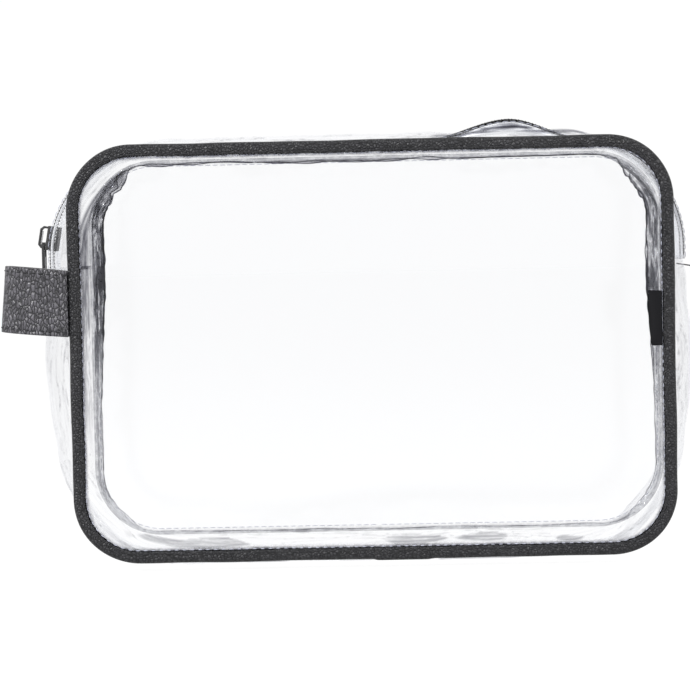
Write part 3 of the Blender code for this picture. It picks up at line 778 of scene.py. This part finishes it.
def make_seam_allowance():
    """The back seam's two raw edges inside: nearly flat to the back at the sides, forward elsewhere."""
    path = whole_path(grow(BACK, -BACK_INSET), FILM_GRID * 0.7)
    at = at_depth(path, SEAM_DEPTH - 0.0009)
    inward = at_depth(inward_directions(path), 0.0)
    side = np.abs(inward[:, 0])
    corner = 4 * side ** 2 * (1 - side ** 2)
    upright = smooth((side - 0.80) / 0.18)
    top = np.clip(-inward[:, 2], 0, 1)
    high = smooth((at[:, 2] - 0.055) / 0.06)
    tilt = np.radians(14 + 66 * smooth((side - 0.25) / 0.6)) + waves(at, (40, 0, 40), 71.0) * 0.25
    fullness = (0.62 + 0.38 * smooth((side - 0.1) / 0.6)) * (0.5 + 0.5 * high)
    # painted shade of the allowance: darkest up the upper sides, faint along the top, a quarter lighter on
    # the right
    allowance_painted_shade = upright * (0.26 + 0.54 * high) + (1 - upright) * (0.06 + 0.34 * smooth(top / 0.2))
    allowance_painted_shade = allowance_painted_shade * np.where(at[:, 0] > 0, 0.75, 1.0)
    shares = np.linspace(0, 1, ALLOWANCE_ROWS)
    clear_start = smooth((shares - 0.02) / 0.1)[:, None]
    # a dark line of painted shade along the allowance's free edge
    painted_rim_shade = (shares > 0.99)[:, None] * (0.5 + 1.5 * high)
    for layer, (gap, seed) in enumerate(((0.0, 0.0), (ALLOWANCE_GAP, 7.0))):
        small = waves(at, (190, 0, 190), 83.0 + seed) + waves(at, (380, 0, 380), 85.0 + seed) * 0.5
        ripple = waves(at, (60, 0, 60), 81.0 + seed) * 0.4 + small * corner
        ragged = 0.94 + 0.10 * waves(at, (190, 0, 190), 91.0 + seed)
        ragged = ragged + 0.12 * corner * waves(at, (420, 0, 420), 95.0)
        width = ALLOWANCE * ragged * fullness
        rows = []
        for share in shares:
            reach = (width * share)[:, None]
            lean = (tilt + ripple * share * 0.9)[:, None]
            forward = np.array([0, 1.0, 0]) * reach * np.cos(lean)
            rows.append(at - np.array([0, gap, 0]) + inward * reach * np.sin(lean) - forward)
        # the scallops' ripple adds more painted shade away from the sides
        shade = (allowance_painted_shade + 0.5 * np.abs(ripple) * high * (1 - upright)) * clear_start + painted_rim_shade
        flow = flow_of(path, shares * ALLOWANCE, shade)
        on_mouth(sheet(f"seam_allowance_{layer}", np.array(rows), FILM, ALLOWANCE_FILM, flow, closed=True))


# ---- zip ----------

def zip_path(spacing):
    """The zip's middle line with its outward directions."""
    path = upper_path(ZIP_LINE, spacing)
    ahead = np.gradient(path, axis=0)
    outward = np.stack([-ahead[:, 1], ahead[:, 0]], 1)
    outward /= np.linalg.norm(outward, axis=1, keepdims=True)
    return path, outward


def chain_point(distance, length, path, outward, y, level):
    """Points at distances along the zip, set off sideways by y and outward by level."""
    x = np.interp(distance, length, path[:, 0]) + level * np.interp(distance, length, outward[:, 0])
    z = np.interp(distance, length, path[:, 1]) + level * np.interp(distance, length, outward[:, 1])
    return np.stack([x, y * np.ones_like(x), z], 1)


def make_coils():
    """Each coil is one wire; the rear one's turns lie between those of the front one."""
    path, outward = zip_path(0.001)
    length = running_length(path)
    turns, per_turn, wire_sides = int(length[-1] / COIL_PITCH), 9, 6
    turn = np.arange(turns * per_turn + 1) / per_turn
    for side, name in ((-1, "front_zip_coil"), (1, "rear_zip_coil")):
        phase = 0.0 if side < 0 else 0.5
        angle = 2 * np.pi * (turn + phase)
        distance = np.clip(turn * COIL_PITCH, 0, length[-1])
        y = side * (COIL_OFFSET + COIL_REACH * np.cos(angle))
        level = COIL_RISE * np.sin(angle)
        line = relax(chain_point(distance, length, path, outward, y, level))
        obj = tube(name.replace("zip_coil", "coil_wire"), line, COIL_WIRE / 2, wire_sides, COIL)
        (on_bag if side < 0 else on_mouth)(obj, name)


def make_tapes():
    """A ribbon of thin cloth under the film at each side of the coils."""
    path = upper_path(ZIP_LINE)
    for side, name in ((-1, "front_zip_tape"), (1, "rear_zip_tape")):
        depths = np.linspace(TAPE_INNER, TAPE_OUTER, 12) * side
        rows = relax(np.array([at_depth(upper_path(grow(gusset_sides(y), -TAPE_DROP)), y) for y in depths]))
        flow = flow_of(path, depths, np.zeros(rows.shape[:2]))
        obj = sheet(name.replace("zip_tape", "tape_cloth"), rows, TAPE_SHEET, TAPE, flow)
        (on_bag if side < 0 else on_mouth)(obj, name)


def outline_stitches(name, outline, spacing, y, out, pitch, length, width, material):
    """Stitches round an outline at one depth; out is -1 on a front face and 1 on a back face."""
    line = at_depth(whole_path(outline, spacing), y)
    return stitches(name, line, np.tile((0, out, 0), (len(line), 1)), pitch, length, width, material)


def make_film_stitches():
    """Stitches of film to tape, round the back and across the zip's ends."""
    path, outward = zip_path(0.001)
    lift = FILM / 2 + 0.0002
    for side, name in ((-1, "front_tape_thread"), (1, "rear_tape_thread")):
        line = relax(at_depth(path + outward * lift, side * (FILM_EDGE + 0.0012)))
        obj = stitches(name.replace("thread", "stitches"), line, at_depth(outward, 0.0), FILM_STITCH,
                       length=FILM_STITCH * 0.82, width=0.00035, material=CLEAR_THREAD)
        (on_bag if side < 0 else on_mouth)(obj, name)
    obj = outline_stitches("back_seam_stitches", grow(BACK, -0.0026), 0.0015, back_high.y + 0.0005, 1,
                           FILM_STITCH, length=FILM_STITCH * 0.8, width=0.0003, material=CLEAR_THREAD)
    on_mouth(obj, "back_seam_thread_lower", "back_seam_thread_upper")
    for name in ("end_seam_thread_left", "end_seam_thread_right"):
        low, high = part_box(name)
        out = -1 if low.x < 0 else 1
        x, z = (low.x + high.x) / 2, (low.z + high.z) / 2
        line = np.array([(x, y, z) for y in np.linspace(low.y, high.y, 30)])
        obj = stitches(name.replace("thread", "stitches"), relax(line), np.tile((out, 0, 0), (30, 1)),
                       END_STITCH, length=0.0021, width=0.0006, material=THREAD)
        on_bag(obj, name)


# ---- binding, strap, label, metal ----------

def binding_profile(front, rear):
    """The channel's cross-section as (distance inward, y) points, round its outer edge and back inside."""
    middle, half = (front + rear) / 2, (rear - front) / 2
    width, wall, soft = BINDING_WIDTH, BINDING_WALL, BINDING_SOFT
    edge = [(BINDING_ROUND * (1 + math.cos(a)), middle + half * math.sin(a))
            for a in np.radians(np.linspace(90, 270, 9))]
    return [(width, rear - soft), (width - soft, rear), *edge,
            (width - soft, front), (width, front + soft), (width, front + wall),
            (wall * 1.6, front + wall), (wall * 1.6, rear - wall), (width, rear - wall)]


def make_binding():
    """The folded strip round the front: a rounded channel whose cut end laps over itself at the bottom."""
    path = whole_path(FRONT, 0.0009)
    inward = inward_directions(path)
    front, rear = binding_low.y, binding_high.y
    at = at_depth(path, 0.0)
    wobble = waves(at, (45, 0, 45), 101.0) * 0.00035
    scallop = waves(at, (230, 0, 230), 105.0) * 0.00022
    lap = smooth((LAP_START - path[:, 0]) / 0.004) * smooth((path[:, 0] + 0.0004) / 0.0006)
    lap = lap * (path[:, 1] < FRONT.bottom + 0.001)
    sections = []
    for inset, y in binding_profile(front, rear):
        share = inset / BINDING_WIDTH
        on_face = inset < BINDING_WALL * 1.5 or y in (front, rear)
        swell_out = lap * LAP_SWELL * (1 if y < (front + rear) / 2 else -0.4) * on_face
        move = inset + scallop * share + wobble - lap * 0.0004 * (share < 0.2)
        points = at_depth(path + inward * move[:, None], y)
        points[:, 1] -= swell_out
        sections.append(points)
    rows = np.stack(sections, 1)
    obj = swept("binding_strip", rows[:, ::-1], BINDING, closed_path=True, smooth_angle=50)
    on_bag(obj, "front_binding")
    obj = outline_stitches("binding_stitches", grow(FRONT, -0.0040), STITCH_GRID, front - 0.00005, -1,
                           BINDING_STITCH, length=BINDING_STITCH * 0.78, width=0.0005, material=THREAD)
    on_bag(obj, "binding_thread")
    obj = outline_stitches("front_seam_stitches", grow(FRONT, -BINDING_WIDTH - 0.0004), STITCH_GRID,
                           panel_low.y - 0.0001, -1, BINDING_STITCH, length=BINDING_STITCH * 0.5,
                           width=0.0004, material=CLEAR_THREAD)
    on_bag(obj)


def strap_surface(offset):
    """Grid of the folded loop: rows up its height, columns from the binding out to the fold and back."""
    angles = np.radians(np.linspace(-90, 90, 150))
    out = np.clip(np.cos(angles), 0, 1)
    root_x, root_y = FRONT.left - 0.0004, panel_low.y + 0.001
    rows = []
    for z in np.linspace(STRAP_BOTTOM, STRAP_BOTTOM + STRAP_HEIGHT, 30):
        level = 0.5 - (z - STRAP_BOTTOM) / STRAP_HEIGHT
        reach = STRAP_REACH + 2 * STRAP_FLARE * level
        half = STRAP_ROOT + STRAP_SWELL * out ** STRAP_FULLNESS
        plan = np.stack([root_x - reach * out, root_y + STRAP_SET_BACK * out + half * np.sin(angles),
                         z + STRAP_LIFT * out], 1)
        ahead = np.gradient(plan, axis=0)
        normal = np.stack([-ahead[:, 1], ahead[:, 0], np.zeros(len(plan))], 1)
        normal /= np.linalg.norm(normal, axis=1, keepdims=True)
        rows.append(plan + normal * offset)
    return np.array(rows)


def make_strap():
    """Two layers of leather sewn together near both edges, with the raw edges slightly rounded."""
    apart = (STRAP_SHEET + LAYER_GAP) / 2
    for name, offset, material, node in (("strap_face", apart, STRAP, "strap_outer"),
                                         ("strap_back", -apart, LINING, "strap_lining")):
        rows = strap_surface(offset)
        wave = waves(rows, (60, 60, 60), 111.0) * 0.0002
        rows = rows + grid_normals(rows) * wave[..., None]
        obj = sheet(name, rows, STRAP_SHEET, material, np.zeros(rows.shape))
        obj.data.set_sharp_from_angle(angle=math.radians(50))
        soften(obj, 0.00025)
        on_bag(obj, node)
    rows = strap_surface(STRAP_SHEET + 0.0002)
    inner = strap_surface(0.0)
    inset = STRAP_SEAM / STRAP_HEIGHT
    for name, share in (("strap_thread_top", 1 - inset), ("strap_thread_bottom", inset)):
        index = round(share * (len(rows) - 1))
        outward = rows[index] - inner[index]
        obj = stitches(name.replace("thread", "stitches"), rows[index], outward, STRAP_STITCH,
                       length=STRAP_STITCH * 0.72, width=0.0006, material=THREAD)
        on_bag(obj, name)


def soften(obj, width, segments=2):
    """Rounds an object's sharp edges."""
    bevel = obj.modifiers.new("soft edges", "BEVEL")
    bevel.width = width
    bevel.segments = segments
    bevel.limit_method = "ANGLE"
    bevel.angle_limit = math.radians(50)
    obj.modifiers.new("shading", "WEIGHTED_NORMAL")


def make_label():
    """The folded tag at the right: blank cloth whose free edge leans, curves sideways and bows."""
    low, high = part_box("woven_label")
    lean, curve, bow, thickness, count = 0.0010, 0.0007, 0.0005, 0.0006, 14
    columns = np.linspace(low.x + 0.0007, high.x + 0.0001, count)
    free = (high.x - columns) / (high.x - low.x)
    rows = []
    for share in np.linspace(0, 1, 40):
        x = columns + (lean * (1 - share) - curve * math.sin(share * math.pi)) * free
        y = (low.y + high.y) / 2 - bow * free ** 2 * math.sin(share * 3)
        rows.append(np.stack([x, y, np.full(count, low.z + (high.z - low.z) * share)], 1))
    rows = np.array(rows)
    obj = sheet("label_cloth", rows, thickness, LABEL, np.zeros(rows.shape))
    soften(obj, 0.00012)
    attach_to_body(obj, "label")
    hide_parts("woven_label")


def rounded_copy(node, name, body, width, material, fuller=0.0):
    """A CAD node's shape with worn, rounded edges, grown a little where it is cast thicker."""
    mesh = frame["nodes"][node].data.copy()
    mesh.name = name
    mesh.materials.clear()
    mesh.materials.append(material)
    build = bmesh.new()
    build.from_mesh(mesh)
    bmesh.ops.remove_doubles(build, verts=build.verts[:], dist=1e-6)
    bmesh.ops.dissolve_limit(build, angle_limit=math.radians(2), verts=build.verts[:], edges=build.edges[:])
    build.to_mesh(mesh)
    build.free()
    mesh.shade_smooth()
    obj = bpy.data.objects.new(name, mesh)
    bpy.context.scene.collection.objects.link(obj)
    if fuller:
        grown = obj.modifiers.new("cast thickness", "DISPLACE")
        grown.strength, grown.mid_level = fuller, 0.0
    soften(obj, width, 3)
    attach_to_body(obj, body)
    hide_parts(node)
    return obj


def make_metal():
    """The slider, cap and pull with softened edges; the hidden spring stays as it is in the frame."""
    rounded_copy("slider_body", "slider_shell", "slider", 0.00025, ENAMEL)
    rounded_copy("slider_cap", "slider_bail", "slider", 0.00022, ENAMEL, fuller=0.00020)
    rounded_copy("pull_tab", "pull_plate", "pull", 0.00035, ENAMEL)
    spring = frame["nodes"]["slider_lock_spring"]
    spring.data.materials.clear()
    spring.data.materials.append(STEEL)


# ---- scene ----------

def make_camera():
    """At the front, a little left of the bag's middle, level with its upper part."""
    data = bpy.data.cameras.new("camera")
    data.lens, data.sensor_width = 115.0, 36.0
    data.clip_start = 0.01
    camera = bpy.data.objects.new("camera", data)
    place = Vector((0.007, -0.9145, 0.135))
    target = Vector((-0.0106, -0.0445, 0.0892))
    camera.location = place
    look = (target - place).to_track_quat("-Z", "Y")
    camera.rotation_mode = "QUATERNION"
    camera.rotation_quaternion = look @ Quaternion((0, 0, 1), math.radians(-1.25))
    bpy.context.scene.collection.objects.link(camera)
    bpy.context.scene.camera = camera


def area_light(name, place, target, size, power):
    """A square white lamp that the camera doesn't see."""
    data = bpy.data.lights.new(name, "AREA")
    data.shape, data.size, data.energy = "SQUARE", size, power
    light = bpy.data.objects.new(name, data)
    light.location = place
    light.rotation_euler = (Vector(target) - Vector(place)).to_track_quat("-Z", "Y").to_euler()
    light.visible_camera = False
    bpy.context.scene.collection.objects.link(light)


def make_stage():
    """A pale floor that nearly matches the white surroundings, and two soft lights."""
    s = Shader("pale floor", "stage")
    floor_finish = s.done(s.node("BsdfPrincipled", Base_Color=(0.08, 0.08, 0.08, 1), Roughness=0.9,
                                 Specular_IOR_Level=0.0, Emission_Color=(1, 1, 1, 1), Emission_Strength=0.93))
    half = 6.0
    corners = np.array([(-half, -half, 0), (half, -half, 0), (half, half, 0), (-half, half, 0)])
    floor = new_object("floor", corners, [(0, 1, 2, 3)], floor_finish)
    world = bpy.data.worlds.new("studio")
    world.use_nodes = True
    background = world.node_tree.nodes["Background"]
    background.inputs["Color"].default_value = (1, 1, 1, 1)
    background.inputs["Strength"].default_value = 1.02
    bpy.context.scene.world = world
    middle = (0, 0, 0.09)
    area_light("soft light left", (-0.7, -0.8, 0.75), middle, 0.30, 20.0)
    area_light("soft light right", (0.8, -0.5, 0.5), middle, 0.30, 5.0)
    scene = bpy.context.scene
    scene.view_settings.view_transform = "Standard"
    scene.cycles.transparent_max_bounces = 40
    scene.cycles.max_bounces = 12


make_camera()
make_stage()
make_panels()
make_zip_strips()
make_lower_gusset()
make_seam_allowance()
make_coils()
make_tapes()
make_film_stitches()
make_binding()
make_strap()
make_label()
make_metal()
